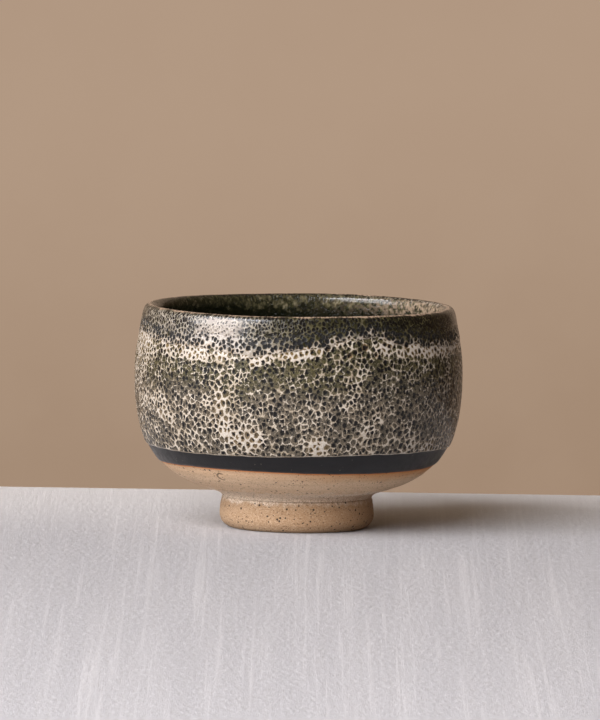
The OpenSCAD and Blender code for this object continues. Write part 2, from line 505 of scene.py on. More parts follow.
def rim_spots():
    """The second dip's spots: fine by the lip, and blown up to pits by its lower edge."""

    def spacing(theta, s):
        left = hump(round_to(theta, math.radians(-68)), 0, math.radians(20))
        low = hump(s - dip_edge(theta), 2.5, 2.4)
        return 1.06 + 0.45 * low + 0.40 * left + 0.12 * waves(theta, s, 14, 9, 9)

    spots = Spots(22, spacing, climb(DIP_OUT_Z) - 8, descend(DIP_IN_Z) + 4)
    above = spots.at[:, 1] - dip_edge(spots.angle())
    spots.at[:, 2] *= 0.90 + 0.45 * hump(above, 3.2, 1.8)
    for degrees, z, radius in PITS + BLOBS:
        spots.put(degrees, z, radius)
    spots.plant()
    return spots


def liner_spots():
    """The faint spots of the glaze inside, down to where it is too dark to show them."""

    def spacing(theta, s):
        return 1.7 + 0.3 * waves(theta, s, 15, 12, 12)

    spots = Spots(24, spacing, LIP - 2, LIP + 44)
    spots.plant()
    return spots


# ---- pieces

def foot_wash(r):
    """How grey the clay is from the joint's slip, by radius."""
    return 1 - ease(r, 30, 41)


def clay_body():
    """The thrown bowl: turning lines and grain where it is bare, plain under the coats."""
    theta = turn(600)
    bare = np.linspace(0, climb(bottom("speckled_glaze")) + 3, 110)
    hidden = np.linspace(bare[-1], WALK.length - 1.2, 64)[1:]
    s = np.concatenate([bare, hidden])[:, None] * np.ones(len(theta))
    th = np.broadcast_to(theta, s.shape)
    shown = 1 - ease(s, bare[-1] - 4, bare[-1] - 1)
    turned = 0.035 * waves(th, s, 31, 160, 1.1) + 0.05 * waves(th, s, 32, 220, 3.4)
    grain = 0.022 * waves(th, s, 33, 1.6, 1.0, 60)
    r, z = raised(s, shown * ease(s, 0, 2) * (turned + grain - pop_mark(th, s)))
    ceiling = np.linspace(1.0, BODY[0][0], 44)[:, None] * np.ones(len(theta))
    swirl = 0.12 * np.cos(2 * math.pi * ceiling / 2.6 + th[:1]) * (1 - ease(ceiling, 15, 17))
    knob = 0.9 * hump(ceiling, 0, 2.2)
    low = SEAT_Z + swirl + 0.12 * (1 - ease(ceiling, 16.4, 17.2)) - knob
    grey = np.stack([foot_wash(r), climb_to_band(th, s), pop_mark(th, s)], -1)
    plain = np.stack([np.zeros(ceiling.shape), 20 + ceiling, 0 * ceiling], -1)
    at_tip = (float(low[0].mean()), float(WALK.p[-1, 1]))
    r, z = np.concatenate([ceiling, r]), np.concatenate([low, z])
    zone = np.concatenate([plain, grey])
    return piece("clay_body", "stoneware_body", theta, r, z, None, zone, False, at_tip)


def climb_to_band(theta, s):
    """How far a place lies below the black band, in mm."""
    return band_low(theta) - s


POP_ANGLE, POP_Z = -35, 21.4    # where the grain popped out, in degrees and mm
POP_WALL, POP_R = 46.5, 2.0     # the bowl's radius there, and the crescent's own, in mm


def pop_mark(theta, s):
    """The little crescent where a grain popped out of the bare clay."""
    across = round_to(theta, math.radians(POP_ANGLE)) * POP_WALL
    along = s - climb(POP_Z)
    away = abs(np.hypot(across, along) - POP_R)
    return 0.22 * hump(away, 0, 0.30) * (1 - ease(across - 0.25 * along, 0.2, 1.0))


def resample(outline, step):
    """Places every `step` mm round a closed outline."""
    ring = np.vstack([outline, outline[:1]])
    s = np.concatenate([[0], np.cumsum(np.hypot(*np.diff(ring, axis=0).T))])
    t = np.arange(0, s[-1], s[-1] / round(s[-1] / step))
    return np.stack([np.interp(t, s, ring[:, 0]), np.interp(t, s, ring[:, 1])], -1)


def outward(line):
    """A closed outline turned to run up its outside, and its outward directions."""
    x, y = line.T
    if (x * np.roll(y, -1) - np.roll(x, -1) * y).sum() < 0:
        line = line[::-1]
    along = np.roll(line, -1, 0) - np.roll(line, 1, 0)
    along /= np.linalg.norm(along, axis=1, keepdims=True)
    return line, np.stack([along[:, 1], -along[:, 0]], -1)


RECESS_R = 21    # between the foot's inner and outer face, in mm


def clay_foot():
    """The foot ring, faintly turned, level where it stands and where it meets the bowl."""
    theta = turn(480)
    line = resample(corners("foot_ring"), 0.42)
    for _ in range(2):
        line = (np.roll(line, 1, 0) + 2 * line + np.roll(line, -1, 0)) / 4
    line, out = outward(line)
    z0 = line[:, 1:2] * np.ones(len(theta))
    th = np.broadcast_to(theta, z0.shape)
    inner = (line[:, :1] < RECESS_R) * 60.0
    relief = 0.05 * waves(th, z0 + inner, 41, 150, 1.6) + 0.03 * waves(th, z0 + inner, 42, 1.8, 1.2, 60)
    relief = relief + 0.06 * waves(th, 0, 43, 30, 1)
    touch = ease(z0, 0.0, 1.2) * (1 - ease(z0, SEAT_Z - 0.8, SEAT_Z - 0.2))
    h = relief * touch
    r = line[:, :1] + h * out[:, :1]
    z = np.maximum(line[:, 1:2] + h * out[:, 1:], 0)
    zone = np.stack([ease(z, SEAT_Z - 3.0, SEAT_Z + 0.5), z, 0 * z], -1)
    return piece("clay_foot", "foot_ring", theta, r, z, None, zone)


def joint_slip():
    """The slip sponged into the corner between foot and bowl."""
    theta = turn(480)
    line, out = outward(resample(corners("neck_slip"), 0.45))
    r0 = line[:, :1] * np.ones(len(theta))
    th = np.broadcast_to(theta, r0.shape)
    h = 0.03 * waves(th, r0, 51, 60, 1.5) + 0.02 * waves(th, r0, 52, 2, 1.5, 60)
    r = r0 + h * out[:, :1]
    z = line[:, 1:2] + h * out[:, 1:]
    zone = np.stack([foot_wash(r), z, 0 * z], -1)
    return piece("joint_slip", "neck_slip", theta, r, z, None, zone)


def to_lip(theta):
    """The far edge of the two outside coats, at the lip's crest."""
    return np.full(theta.shape, LIP)


def glaze_base():
    """The black coat next to the clay, with a rolled lower edge."""

    def over(theta, s):
        d = s - band_low(theta)
        film = BASE_T * bead(d, 1.2) + 0.06 * hump(d, 1.1, 0.7)
        return film + 0.02 * waves(theta, s, 61, 12, 8)

    def zone(theta, s):
        return np.stack([s - band_low(theta), 0 * s, 0 * s], -1)

    share = shares("start", 90, 0.02)
    return coat("glaze_base", "black_base_glaze", 600, band_low, to_lip,
                0.0, over, share, zone)


def glaze_speckled():
    """The pale coat over the black one, dimpled at every spot."""
    spots = body_spots()

    def over(theta, s):
        d = s - band_top(theta)
        below = dip_edge(theta) - s
        depth = 0.15 * spots.dimples(theta, s) * ease(d, 0.4, 1.4) * ease(below, -1.0, 0.2)
        swell = 0.10 * hump(d, 1.0, 0.8) + 0.05 * waves(theta, s, 62, 7, 7)
        return BASE_T + SPECKLED_T * bead(d, 1.2) + ease(d, 0, 1) * ease(LIP - s, 0, 4) * swell - depth

    def zone(theta, s):
        return np.stack([creamy(theta, s), dip_edge(theta) - s, s - band_top(theta)], -1)

    share = shares("start", 118, 0.022)
    return coat("glaze_speckled", "speckled_glaze", 708, band_top, to_lip,
                BASE_T, over, share, zone, spots)


def pale_side(theta, s):
    """How pale the second dip is: it thins to cream on some sides of the wall, and not on others."""
    pale = 0.10 * waves(theta, s, 17, 8, 6) + bumps(theta, PALE)
    outside = np.clip(pale, 0, 1) * (1 - ease(s, LIP - 1.5, LIP))
    inside = bumps(theta, PALE_INSIDE) * (1 - ease(s, LIP + 4, LIP + 9)) * ease(s, LIP, LIP + 1)
    return np.where(s < LIP, outside, inside)


def glaze_rim():
    """The second dip over the lip, rolled at both edges."""
    spots = rim_spots()

    def over(theta, s):
        d = s - dip_edge(theta)
        back = dip_inner_edge(theta) - s
        roll = DIP_T * bead(d, 3.0) * bead(back, 2.5)
        depth = 0.13 * spots.dimples(theta, s) * ease(d, 0.4, 1.6) * (1 - 0.85 * ease(d, 4, 8))
        return LINER_T + roll - np.minimum(depth, 0.8 * roll)

    def zone(theta, s):
        return np.stack([s - dip_edge(theta), s - LIP, pale_side(theta, s)], -1)

    share = shares("start end", 86, 0.06)
    return coat("glaze_rim", "rim_glaze", 840, dip_edge, dip_inner_edge,
                LINER_T, over, share, zone, spots)


def glaze_liner():
    """The glaze poured inside: throwing rings under it, and a pool in the middle of the floor."""
    theta = turn(420)
    spots = liner_spots()
    s = np.concatenate([np.linspace(LIP, LIP + 30, 60), np.linspace(LIP + 30, WALK.length - 0.8, 70)[1:]])
    s = s[:, None] * np.ones(len(theta))
    th = np.broadcast_to(theta, s.shape)
    thrown = 0.10 * np.cos((s + 1.2 * th) * 2 * math.pi / 7.5) * ease(s, LIP + 12, LIP + 30)
    r_in = WALK.at(s)[0][..., 0]
    pool = 0.5 * (1 - ease(r_in, 6, 24))
    over = LINER_T + thrown * ease(r_in, 3, 9) + pool + 0.04 * waves(th, s, 63, 9, 9) * ease(r_in, 3, 9)
    r_top, z_top = raised(s, over)
    low = s[::6][::-1]
    if low[0, 0] < s[-1, 0]:
        low = np.concatenate([s[-1:], low])
    r_low, z_low = raised(low, np.zeros(low.shape))
    r = np.concatenate([r_low, r_top])
    z = np.concatenate([z_low, z_top])
    s_all = np.concatenate([low, s])
    zone = np.stack([s_all - LIP, 0 * s_all, WALK.at(s_all)[0][..., 0]], -1)
    tips = (float(WALK.p[-1, 1]), float(z_top[-1].mean()))
    return piece("glaze_liner", "liner_glaze", theta, r, z, s_all, zone, False, tips, spots)


# ---- materials

class Paint:
    """Builds one material's nodes. Lengths in it are mm; sockets and plain values mix freely."""

    def __init__(self, name):
        self.material = bpy.data.materials.new(name)
        self.material.use_nodes = True
        self.nodes = self.material.node_tree.nodes
        self.links = self.material.node_tree.links
        self.nodes.clear()
        self.rest = self.attr("rest")

    def node(self, kind, inputs, out=0, **settings):
        """Adds a node, links or sets its inputs, and returns one of its outputs."""
        n = self.nodes.new(kind)
        for name, value in settings.items():
            setattr(n, name, value)
        for key, value in inputs.items():
            if isinstance(value, bpy.types.NodeSocket):
                self.links.new(value, n.inputs[key])
            else:
                n.inputs[key].default_value = value
        return n.outputs[out]

    def attr(self, name):
        return self.node("ShaderNodeAttribute", {}, "Vector", attribute_name=name)

    def split(self, vector):
        n = self.node("ShaderNodeSeparateXYZ", {0: vector}).node
        return n.outputs[0], n.outputs[1], n.outputs[2]

    def math(self, operation, a, b=0.0):
        return self.node("ShaderNodeMath", {0: a, 1: b}, operation=operation)

    def add(self, a, b):
        return self.math("ADD", a, b)

    def sub(self, a, b):
        return self.math("SUBTRACT", a, b)

    def mul(self, a, b):
        return self.math("MULTIPLY", a, b)

    def vector(self, operation, a, b=(0, 0, 0), c=(0, 0, 0)):
        out = "Value" if operation == "LENGTH" else "Vector"
        inputs = {0: a, 1: b} if operation != "MULTIPLY_ADD" else {0: a, 1: b, 2: c}
        return self.node("ShaderNodeVectorMath", inputs, out, operation=operation)

    def mix(self, share, a, b):
        a = (*a, 1) if isinstance(a, tuple) else a
        b = (*b, 1) if isinstance(b, tuple) else b
        return self.node("ShaderNodeMix", {0: share, 6: a, 7: b}, 2, data_type="RGBA")

    def blend(self, share, a, b):
        return self.node("ShaderNodeMix", {0: share, 2: a, 3: b}, 0, data_type="FLOAT")

    def fade(self, x, lo, hi, start=0.0, end=1.0):
        """`start` up to lo, `end` from hi on, and a soft step between."""
        ends = {"Value": x, "From Min": lo, "From Max": hi, "To Min": start, "To Max": end}
        return self.node("ShaderNodeMapRange", ends, interpolation_type="SMOOTHSTEP")

    def noise(self, size, detail=2.0, stretch=(1, 1, 1), rough=0.5):
        """Cloudy noise in lumps of about a size in mm, which stretch draws out where it is under 1."""
        at = self.rest if stretch == (1, 1, 1) else self.vector("MULTIPLY", self.rest, stretch)
        look = {"Vector": at, "Scale": 1 / size, "Detail": detail, "Roughness": rough}
        return self.node("ShaderNodeTexNoise", look, "Fac")

    def cloud(self, size, detail, lo, hi, start=0.0, end=1.0):
        return self.fade(self.noise(size, detail), lo, hi, start, end)

    def specks(self, spacing, chance, radius):
        """Round specks in some cells of a 3-D scatter: 1 in a speck's middle, 0 outside."""
        look = {"Vector": self.rest, "Scale": 1 / spacing, "Randomness": 1.0}
        n = self.node("ShaderNodeTexVoronoi", look).node
        pick = self.split(n.outputs["Color"])
        there = self.math("LESS_THAN", pick[0], chance)
        size = self.mul(self.add(pick[1], 0.35), radius / spacing)
        inside = self.fade(self.math("DIVIDE", n.outputs["Distance"], size), 0.7, 1.1, 1.0, 0.0)
        return self.mul(there, inside)

    def cells(self, wander):
        """Where a point lies among the four spots its face was given."""
        look = {"Vector": self.rest, "Scale": 0.55, "Detail": 4.0, "Roughness": 0.72}
        drift = self.node("ShaderNodeTexNoise", look, "Color")
        drift = self.vector("MULTIPLY_ADD", drift, (wander,) * 3, (-wander / 2,) * 3)
        here = self.vector("MULTIPLY", self.vector("ADD", self.attr("sheet"), drift), (1, 1, 0))
        near, far, whose = 99.0, 99.0, (0, 0, 0)
        for k in range(4):
            to = self.vector("SUBTRACT", here, self.attr(f"spot_{k}"))
            away = self.vector("LENGTH", self.vector("MULTIPLY", to, (1, SQUASH, 0)))
            closer = self.math("LESS_THAN", away, near)
            far = self.math("MINIMUM", far, self.math("MAXIMUM", near, away))
            near = self.math("MINIMUM", near, away)
            whose = self.node("ShaderNodeMix", {0: closer, 4: whose, 5: to}, 1, data_type="VECTOR")
        dx, dy, radius = self.split(whose)
        pit = self.math("LESS_THAN", radius, -PIT)
        radius = self.sub(self.mul(radius, -1.0), self.mul(pit, PIT))
        dice = self.node("ShaderNodeTexWhiteNoise", {"W": self.mul(radius, 53.0)}, "Color",
                         noise_dimensions="1D")
        return near, self.mul(self.sub(far, near), 0.5), dx, dy, radius, pit, self.split(dice)

    def pit_of(self, pit, open_out):
        """The black of an open pit or a dark drop, torn at its edge: in the drops their own dark glaze, in
        the open pits painted shade of the hole.
        """
        torn = self.add(open_out, self.fade(self.noise(0.9, 3, (1, 1, 1), 0.65), 0.3, 0.7, -0.38, 0.38))
        return self.mul(pit, self.fade(torn, 0.62, 0.92, 1.0, 0.0))

    def finish(self, colour, roughness, height, **constants):
        """Joins the shader to the output; height is in mm, and constants are set on the shader itself."""
        bump = self.node("ShaderNodeBump", {"Distance": MM, "Height": height})
        look = {"Base Color": colour, "Roughness": roughness, "Normal": bump}
        surface = self.node("ShaderNodeBsdfPrincipled", {**look, **constants})
        out = self.nodes.new("ShaderNodeOutputMaterial")
        self.links.new(surface, out.inputs["Surface"])
        return self.material


def heart_of(p, dx, dy, radius, dice, least, most):
    """The dark heart of a spot: a blot of the glaze's own near-black, of its own size and shape, set off to
    the spot's upper side as painted shade of the dimple.
    """
    off_x = p.add(dx, p.fade(dice[2], 0.0, 1.0, -0.35, 0.35))
    # Painted shade: the heart sits above the spot's middle, where the dimple's upper wall would shade it.
    off_y = p.mul(p.sub(dy, p.fade(dice[0], 0.0, 1.0, 0.05, 0.50)), 0.8)
    away = p.vector("LENGTH", p.node("ShaderNodeCombineXYZ", {0: off_x, 1: off_y}))
    away = p.add(away, p.cloud(0.7, 3, 0.2, 0.8, -0.25, 0.25))
    share = p.math("DIVIDE", away, p.mul(radius, p.blend(dice[1], least, most)))
    return p.fade(share, 0.70, 1.10, 1.0, 0.0)


def speckled_glaze():
    """Pale glaze opened into grey-olive spots with near-black hearts, on a ragged cream web."""
    p = Paint("speckled_glaze")
    near, wall, dx, dy, radius, pit, dice = p.cells(2.0)
    cream, below, above = p.split(p.attr("zone"))
    open_out = p.math("DIVIDE", near, radius)
    patch = p.fade(p.noise(3.2, 3, (1, 1, 0.7), 0.6), 0.34, 0.66, -0.13, 0.16)
    patch = p.add(patch, p.cloud(0.55, 2, 0.3, 0.7, -0.09, 0.09))
    web = p.add(patch, p.fade(cream, 0.1, 0.9, -0.09, 0.24))
    inside = p.fade(wall, web, p.add(web, 0.17))
    inside = p.mul(inside, p.fade(open_out, 0.84, 1.04, 1.0, 0.0))
    inside = p.mul(inside, p.fade(above, 0.3, 0.8))
    heart = p.mul(heart_of(p, dx, dy, radius, dice, 0.14, 0.52), inside)
    heart = p.math("MAXIMUM", heart, p.pit_of(pit, open_out))
    olive = p.mix(dice[2], (0.074, 0.066, 0.028), (0.027, 0.028, 0.011))
    grey = p.mix(dice[2], (0.128, 0.106, 0.078), (0.050, 0.045, 0.037))
    high = p.fade(p.add(p.mul(p.noise(22, 2), 26.0), p.mul(below, -1.0)), -9.0, 4.0)
    fill = p.mix(high, grey, olive)
    # Painted shade: each spot's fill darkens toward its upper side, where the dimple's upper wall shades
    # it.
    sink = p.add(p.math("DIVIDE", dy, radius), p.cloud(0.6, 2, 0.3, 0.7, -0.5, 0.5))
    fill = p.mix(p.fade(sink, -0.5, 0.8, 0.0, 0.60), fill, (0.022, 0.020, 0.014))
    crumb = p.noise(0.36, 3, (1, 1, 1), 0.7)
    fill = p.mix(p.fade(crumb, 0.50, 0.62, 0.0, 0.60), fill, (0.012, 0.012, 0.008))
    fill = p.mix(p.fade(crumb, 0.48, 0.36, 0.0, 0.50), fill, (0.290, 0.245, 0.170))
    fill = p.mix(p.mul(p.fade(cream, 0.40, 0.9), 0.5), fill, (0.200, 0.130, 0.048))
    edge = p.mul(p.mul(inside, p.sub(1.0, inside)), 2.2)
    thick = p.fade(wall, p.sub(web, 0.25), web, 1.0, 0.0)
    grain = p.fade(p.noise(0.42, 3, (1, 1, 1), 0.7), 0.38, 0.62)
    web_tone = p.mix(p.cloud(5, 3, 0.35, 0.65), (0.385, 0.338, 0.265), (0.595, 0.552, 0.478))
    web_tone = p.mix(p.fade(cream, 0.35, 0.9), web_tone, (0.520, 0.495, 0.448))
    web_tone = p.mix(p.mul(thick, 0.40), web_tone, (0.560, 0.537, 0.500))
    web_tone = p.mix(p.mul(grain, 0.52), web_tone, (0.230, 0.165, 0.085))
    colour = p.mix(inside, web_tone, fill)
    colour = p.mix(p.mul(edge, p.fade(cream, 0.2, 0.8, 0.10, 0.70)), colour, (0.230, 0.135, 0.045))
    halo = p.mul(pit, p.fade(open_out, 0.95, 1.45, 0.85, 0.0))
    colour = p.mix(halo, colour, (0.150, 0.098, 0.040))
    colour = p.mix(p.mul(heart, 0.97), colour, (0.006, 0.006, 0.006))
    height = p.add(p.mul(inside, -0.07), p.mul(heart, -0.07))
    height = p.add(height, p.mul(p.noise(0.9, 2), 0.03))
    rough = p.cloud(5, 3, 0.3, 0.7, 0.18, 0.28)
    return p.finish(colour, rough, height, IOR=1.36)


def mottle(p, inner):
    """The runny colour of the glaze inside: dark green-black, clouded with olive and cream, the clouds
    painted lighter on the right side and darker on the left as painted light and shade.
    """
    cloud = p.noise(1.8, 4, (1, 1, 0.8), 0.65)
    wide = p.noise(26, 1)
    # Painted light and shade: the olive and cream clouds are full on the right side and dimmed on the left,
    # where less light falls.
    painted_light_side = p.fade(p.add(p.split(p.rest)[0], p.mul(wide, 20.0)), -40.0, 25.0, 0.15, 1.0)
    colour = p.mix(p.mul(p.fade(cloud, 0.42, 0.62), painted_light_side), (0.012, 0.013, 0.006), (0.084, 0.076, 0.038))
    pale = p.mul(p.fade(p.add(cloud, p.mul(wide, 0.35)), 0.72, 0.90), painted_light_side)
    colour = p.mix(pale, colour, (0.210, 0.182, 0.120))
    return p.mix(inner, colour, (0.002, 0.003, 0.001))


def rim_glaze():
    """The second dip: near-black spots in an olive web, paler on one side; a bare tan line on the lip."""
    p = Paint("rim_glaze")
    near, wall, dx, dy, radius, pit, dice = p.cells(1.5)
    above, past_lip, pale = p.split(p.attr("zone"))
    open_out = p.math("DIVIDE", near, radius)
    low = p.fade(p.add(above, p.cloud(3, 2, 0.25, 0.75, -1.5, 1.5)), 0.6, 3.6, 1.0, 0.0)
    low = p.mul(low, p.cloud(7, 2, 0.36, 0.56, 0.45, 1.0))
    web = p.add(p.cloud(2.4, 3, 0.32, 0.68, -0.18, 0.08), p.mul(p.add(low, pale), 0.08))
    inside = p.mul(p.fade(wall, web, p.add(web, 0.18)), p.fade(open_out, 0.76, 1.04, 1.0, 0.0))
    inside = p.mul(inside, p.fade(above, 0.0, 0.5))
    most = p.sub(1.0, p.mul(p.fade(pale, 0.74, 0.98), p.fade(above, 3.0, 7.0, 0.1, 0.55)))
    heart = p.mul(heart_of(p, dx, dy, p.mul(radius, most), dice, 0.35, 1.10), inside)
    # Painted shade: the open pits are painted black, the shade inside the hole; the dark drops' black is
    # their own.
    heart = p.math("MAXIMUM", heart, p.pit_of(pit, open_out))
    grain = p.fade(p.noise(0.42, 3, (1, 1, 1), 0.7), 0.36, 0.62)
    web_tone = p.mix(p.cloud(4, 3, 0.35, 0.65), (0.018, 0.020, 0.008), (0.076, 0.070, 0.035))
    web_tone = p.mix(p.mul(pale, p.cloud(3, 3, 0.3, 0.7, 0.6, 1.0)), web_tone, (0.480, 0.435, 0.375))
    web_tone = p.mix(low, web_tone, (0.460, 0.436, 0.392))
    web_tone = p.mix(p.mul(grain, 0.50), web_tone, p.mix(low, (0.060, 0.050, 0.026), (0.250, 0.175, 0.090)))
    fill = p.mix(dice[2], (0.024, 0.023, 0.010), (0.008, 0.008, 0.005))
    # Partly painted sheen: where the second dip is palest, on the shoulder under the panes' gleam, the
    # fills lighten and the hearts shrink (by `most`), besides the glaze's own thinning to cream.
    thin_and_sheen = p.fade(p.add(above, p.mul(dice[1], 3.0)), 2.5, 7.0, 0.15, 1.0)
    thin_and_sheen = p.mul(thin_and_sheen, p.fade(pale, 0.74, 0.98))
    fill = p.mix(thin_and_sheen, fill, (0.240, 0.208, 0.175))
    edge = p.mul(p.mul(inside, p.sub(1.0, inside)), 2.0)
    colour = p.mix(inside, web_tone, fill)
    colour = p.mix(p.mul(edge, low), colour, (0.200, 0.112, 0.036))
    halo = p.mul(p.mul(pit, low), p.fade(open_out, 0.95, 1.45, 0.85, 0.0))
    colour = p.mix(halo, colour, (0.150, 0.098, 0.040))
    colour = p.mix(heart, colour, (0.004, 0.004, 0.004))
    inner = p.fade(past_lip, 0.6, 2.0)
    # Partly painted shade: a few mm inside the lip the glaze goes near-black, partly its own dark and
    # partly the shade down inside the bowl.
    sink = p.add(past_lip, p.cloud(3, 2, 0.25, 0.75, -2.0, 2.0))
    inside_tone = mottle(p, p.fade(sink, 2.5, 6.5, 0.0, 0.97))
    tan_side = p.mul(pale, p.cloud(1.5, 3, 0.38, 0.60))
    inside_tone = p.mix(tan_side, inside_tone, (0.350, 0.265, 0.185))
    colour = p.mix(p.mul(inner, 0.92), colour, inside_tone)
    lip = p.math("ABSOLUTE", p.add(past_lip, p.cloud(7, 2, 0.2, 0.8, -0.4, 0.4)))
    tan = p.mul(p.fade(lip, 0.12, 0.5, 0.85, 0.0), p.fade(heart, 0.0, 1.0, 1.0, 0.3))
    colour = p.mix(tan, colour, (0.420, 0.310, 0.225))
    pits = p.mul(heart, p.fade(above, 2.5, 7.0, -0.20, -0.04))
    height = p.add(p.add(p.mul(inside, -0.02), pits), p.mul(p.noise(0.9, 2), 0.015))
    rough = p.cloud(5, 3, 0.3, 0.7, 0.13, 0.22)
    rough = p.blend(p.mul(heart, p.fade(above, 2.0, 8.0, 1.0, 0.0)), rough, 0.90)
    return p.finish(colour, rough, height, IOR=1.48)


def liner_glaze():
    """Dark green-black glaze, mottled olive and cream toward the lip."""
    p = Paint("liner_glaze")
    near, wall, _, _, radius, _, _ = p.cells(1.6)
    down, _, r = p.split(p.attr("zone"))
    wide = p.fade(r, 34.0, 48.0)
    inside = p.mul(p.fade(wall, 0.0, 0.5), p.fade(p.math("DIVIDE", near, radius), 0.7, 1.1, 1.0, 0.0))
    sink = p.add(down, p.cloud(9, 2, 0.2, 0.8, -6.0, 6.0))
    colour = mottle(p, p.fade(sink, 6.0, 22.0, 0.3, 0.97))
    colour = p.mix(p.mul(p.mul(inside, wide), 0.5), colour, (0.014, 0.015, 0.010))
    height = p.add(p.mul(p.mul(inside, wide), -0.06), p.mul(p.noise(1.4, 2), 0.05))
    rough = p.cloud(8, 3, 0.3, 0.7, 0.12, 0.22)
    return p.finish(colour, rough, height, IOR=1.48)


def black_glaze():
    """The satin black coat, with a few pale specks."""
    p = Paint("black_glaze")
    up, _, _ = p.split(p.attr("zone"))
    cloud = p.noise(6, 4, (1, 1, 2.2))
    colour = p.mix(cloud, (0.003, 0.003, 0.004), (0.009, 0.009, 0.010))
    pale = p.specks(1.1, 0.12, 0.17)
    colour = p.mix(p.mul(pale, 0.55), colour, (0.190, 0.160, 0.120))
    colour = p.mix(p.fade(up, 0.1, 0.9, 0.8, 0.0), colour, (0.030, 0.020, 0.015))
    height = p.add(p.mul(p.noise(0.5, 3), 0.05), p.mul(pale, 0.04))
    rough = p.cloud(2.5, 3, 0.3, 0.7, 0.32, 0.44)
    return p.finish(colour, rough, height, IOR=1.45)


def bare_clay(name, light, dark, specks, wash, flash):
    """Toasted stoneware: sandy grain, iron specks, turning lines, and slip as far as `wash` says.

    With `flash` it blushes orange toward the glaze, more strongly on its right side, which is partly
    flashing and partly painted shade, and shows the popped grain, its crescent painted darker as painted
    shade in the groove; without, it is toasted darker on its right side, partly toasting and partly painted
    shade.
    """
    p = Paint(name)
    grey, below, mark = p.split(p.attr("zone"))
    colour = p.mix(p.noise(7, 4, (1, 1, 2.5)), dark, light)
    sand = p.noise(0.62, 3, (1, 1, 1.7), 0.75)
    colour = p.mix(p.fade(sand, 0.46, 0.66, 0.0, 0.55), colour, p.mix(0.6, light, (0.82, 0.66, 0.48)))
    colour = p.mix(p.fade(sand, 0.47, 0.30, 0.0, 0.60), colour, p.mix(0.5, dark, (0.10, 0.06, 0.035)))
    lines = p.noise(1.1, 2, (0.04, 0.04, 1))
    colour = p.mix(p.fade(lines, 0.35, 0.7, 0.0, 0.18), colour, (0.30, 0.20, 0.125))
    ragged = p.add(grey, p.cloud(2.5, 3, 0.25, 0.75, -0.35, 0.35))
    gritty = p.mix(p.cloud(0.5, 2, 0.40, 0.58), (0.400, 0.330, 0.255), (0.800, 0.700, 0.575))
    colour = p.mix(p.mul(p.fade(ragged, 0.25, 0.85), wash), colour, gritty)
    if flash:
        blush = p.add(below, p.cloud(6, 3, 0.2, 0.8, -0.9, 0.9))
        # Partly painted shade: the blush grows toward the right side, partly flashing and partly the shade
        # that falls on that side.
        side = p.fade(p.split(p.rest)[0], -20.0, 42.0, 0.25, 1.0)
        colour = p.mix(p.mul(side, p.fade(blush, 0.2, 7.0, 1.0, 0.0)), colour, (0.500, 0.250, 0.095))
        colour = p.mix(p.fade(below, 0.2, 1.2, 0.9, 0.0), colour, (0.500, 0.170, 0.050))
        # Painted shade: the popped grain's crescent groove is painted darker.
        colour = p.mix(p.fade(mark, 0.02, 0.12, 0.0, 0.70), colour, (0.08, 0.055, 0.035))
    else:
        # Partly painted shade: darker and browner toward the right side, partly toasting and partly the
        # shade that falls on that side.
        side = p.fade(p.split(p.rest)[0], -18.0, 27.0, 0.0, 0.65)
        toast_and_shade = p.mul(side, p.cloud(6, 3, 0.3, 0.7, 0.6, 1.0))
        colour = p.mix(toast_and_shade, colour, (0.330, 0.185, 0.088))
    iron = p.specks(1.6, specks, 0.36)
    fine = p.specks(0.8, 0.66, 0.21)
    colour = p.mix(p.mul(fine, 0.65), colour, (0.110, 0.058, 0.028))
    colour = p.mix(p.mul(iron, 0.9), colour, (0.022, 0.014, 0.010))
    height = p.add(p.mul(sand, 0.14), p.mul(lines, 0.05))
    height = p.add(height, p.mul(iron, -0.03))
    rough = p.cloud(1.2, 2, 0.3, 0.7, 0.78, 0.95)
    return p.finish(colour, rough, height, IOR=1.45)


def cloth():
    """Pale linen, plain woven, with uneven threads and soft ribs that run away from the viewer."""
    p = Paint("linen")
    x, y, _ = p.split(p.rest)
    warp = p.math("SINE", p.mul(p.add(x, p.mul(p.noise(30, 2), 2.0)), 2 * math.pi / 0.95))
    weft = p.math("SINE", p.mul(p.add(y, p.mul(p.noise(26, 2), 3.0)), 2 * math.pi / 1.25))
    weave = p.mul(warp, weft)
    ribs = p.noise(2.9, 2, (1.0, 0.008, 1), 0.6)
    broad = p.noise(14.0, 2, (1.0, 0.03, 1), 0.5)
    slub = p.noise(2.8, 4, (1.2, 0.36, 1), 0.75)
    raised_rib = p.mul(p.fade(ribs, 0.50, 0.72), p.fade(slub, 0.38, 0.58, 0.25, 1.0))
    colour = p.mix(p.fade(weave, -1.0, 1.0), (0.405, 0.415, 0.440), (0.455, 0.465, 0.490))
    colour = p.mix(p.fade(slub, 0.50, 0.68, 0.0, 0.45), colour, (0.340, 0.340, 0.345))
    colour = p.mix(p.fade(slub, 0.46, 0.30, 0.0, 0.42), colour, (0.690, 0.700, 0.720))
    colour = p.mix(p.fade(broad, 0.40, 0.65, 0.0, 0.14), colour, (0.600, 0.608, 0.622))
    colour = p.mix(p.mul(raised_rib, 0.30), colour, (0.710, 0.718, 0.730))
    colour = p.mix(p.fade(ribs, 0.48, 0.34, 0.0, 0.14), colour, (0.420, 0.422, 0.430))
    # Painted light: the cloth is painted lighter toward the back.
    colour = p.mix(p.fade(y, -60.0, 138.0, 0.0, 0.70), colour, (0.700, 0.705, 0.705))
    height = p.add(p.mul(weave, 0.10), p.add(p.mul(slub, -0.45), p.mul(raised_rib, 0.05)))
    rough = p.cloud(4, 2, 0.3, 0.7, 0.85, 1.0)
    return p.finish(colour, rough, height)


